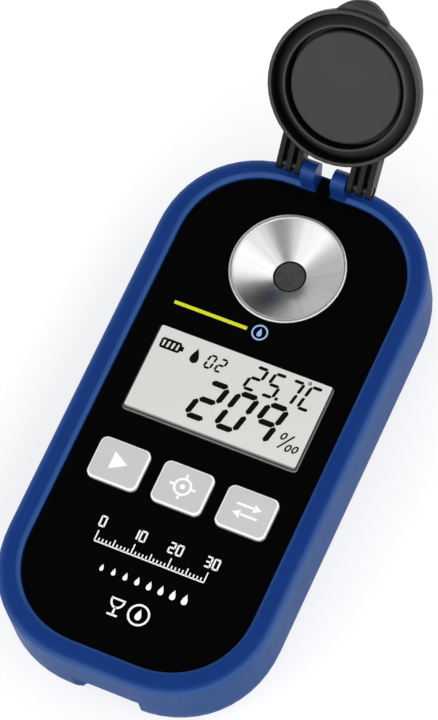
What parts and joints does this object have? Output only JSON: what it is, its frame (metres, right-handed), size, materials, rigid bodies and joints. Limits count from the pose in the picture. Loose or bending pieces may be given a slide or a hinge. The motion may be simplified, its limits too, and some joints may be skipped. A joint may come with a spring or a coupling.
{
  "type": "digital refractometer",
  "caption": "Handheld digital refractometer with a steel sample well, hinged lid, liquid crystal display and push keys in a rounded blue housing.",
  "frame": {"origin": "middle of the flat back face that the instrument lies on", "axes": "+X to the right, +Y from the keys toward the hinged lid, +Z out of the face"},
  "size_m": [0.058, 0.1416, 0.0503],
  "materials": {
    "blue_housing": "fine satin texture",
    "black_gloss": "gloss film",
    "black_plastic": "matte",
    "grey_rubbery": "matte, soft",
    "rubber": "matte",
    "clear_window": "clear",
    "lcd_panel": "satin grey-green",
    "prism_glass": "polished",
    "key_plastic": "satin",
    "turned_steel": "turned",
    "screw_steel": "plated",
    "brass": "machined",
    "copper_film": "polyimide film",
    "board": "solder mask",
    "cell_wrap": "plain wrap"
  },
  "bodies": {
    "housing": {"rear_shell": "blue_housing", "front_shell": "blue_housing", "housing_gasket": "rubber", "front_label": "black_gloss", "display_window": "clear_window", "lcd_glass": "lcd_panel", "lcd_holder": "black_plastic", "zebra_strip_upper": "rubber", "zebra_strip_lower": "rubber", "main_board": "board", "microcontroller": "black_plastic", "flex_connector": "key_plastic", "board_screw_1": "screw_steel", "board_screw_2": "screw_steel", "key_read_snap_dome": "screw_steel", "key_zero_snap_dome": "screw_steel", "key_unit_snap_dome": "screw_steel", "sample_well": "turned_steel", "prism_seal": "rubber", "well_gasket": "rubber", "well_retaining_ring": "brass", "prism": "prism_glass", "optical_block": "black_plastic", "optics_screw_1": "screw_steel", "optics_screw_2": "screw_steel", "condenser_lens": "prism_glass", "light_source": "key_plastic", "light_board": "board", "line_sensor": "black_plastic", "sensor_board": "board", "sensor_flex_cable": "copper_film", "temperature_probe": "screw_steel", "battery_cell": "cell_wrap", "battery_spring_contact": "screw_steel", "battery_plate_contact": "screw_steel", "threaded_insert": "brass", "housing_screw_1": "screw_steel", "housing_screw_2": "screw_steel", "housing_screw_3": "screw_steel", "housing_screw_4": "screw_steel", "hinge_pin_left": "black_plastic", "hinge_pin_right": "black_plastic"},
    "lid": {"lid_shell": "grey_rubbery", "lid_pad": "grey_rubbery"},
    "read_key": {"key_read": "key_plastic"},
    "zero_key": {"key_zero": "key_plastic"},
    "unit_key": {"key_unit": "key_plastic"},
    "cover": {"battery_cover": "blue_housing", "battery_cover_seal": "rubber"},
    "cover_screw": {"battery_cover_screw": "screw_steel"}
  },
  "joints": [
    {"name": "lid_hinge", "type": "hinge", "parent": "housing", "child": "lid", "pos_m": [0, 0.0559, 0.0226], "axis": [1, 0, 0], "range_deg": [0, 137]},
    {"name": "read_press", "type": "slide", "parent": "housing", "child": "read_key", "axis": [0, 0, -1], "range_m": [0, 0.0004], "stiffness_N_per_m": 1500},
    {"name": "zero_press", "type": "slide", "parent": "housing", "child": "zero_key", "axis": [0, 0, -1], "range_m": [0, 0.0004], "stiffness_N_per_m": 1500},
    {"name": "unit_press", "type": "slide", "parent": "housing", "child": "unit_key", "axis": [0, 0, -1], "range_m": [0, 0.0004], "stiffness_N_per_m": 1500},
    {"name": "cover_lift_off", "type": "slide", "parent": "housing", "child": "cover", "axis": [0, 0, -1], "range_m": [0, 0.03]},
    {"name": "cover_screw_turn", "type": "hinge", "parent": "cover", "child": "cover_screw", "pos_m": [0, -0.03, 0.003], "axis": [0, 0, 1], "continuous": true}
  ]
}
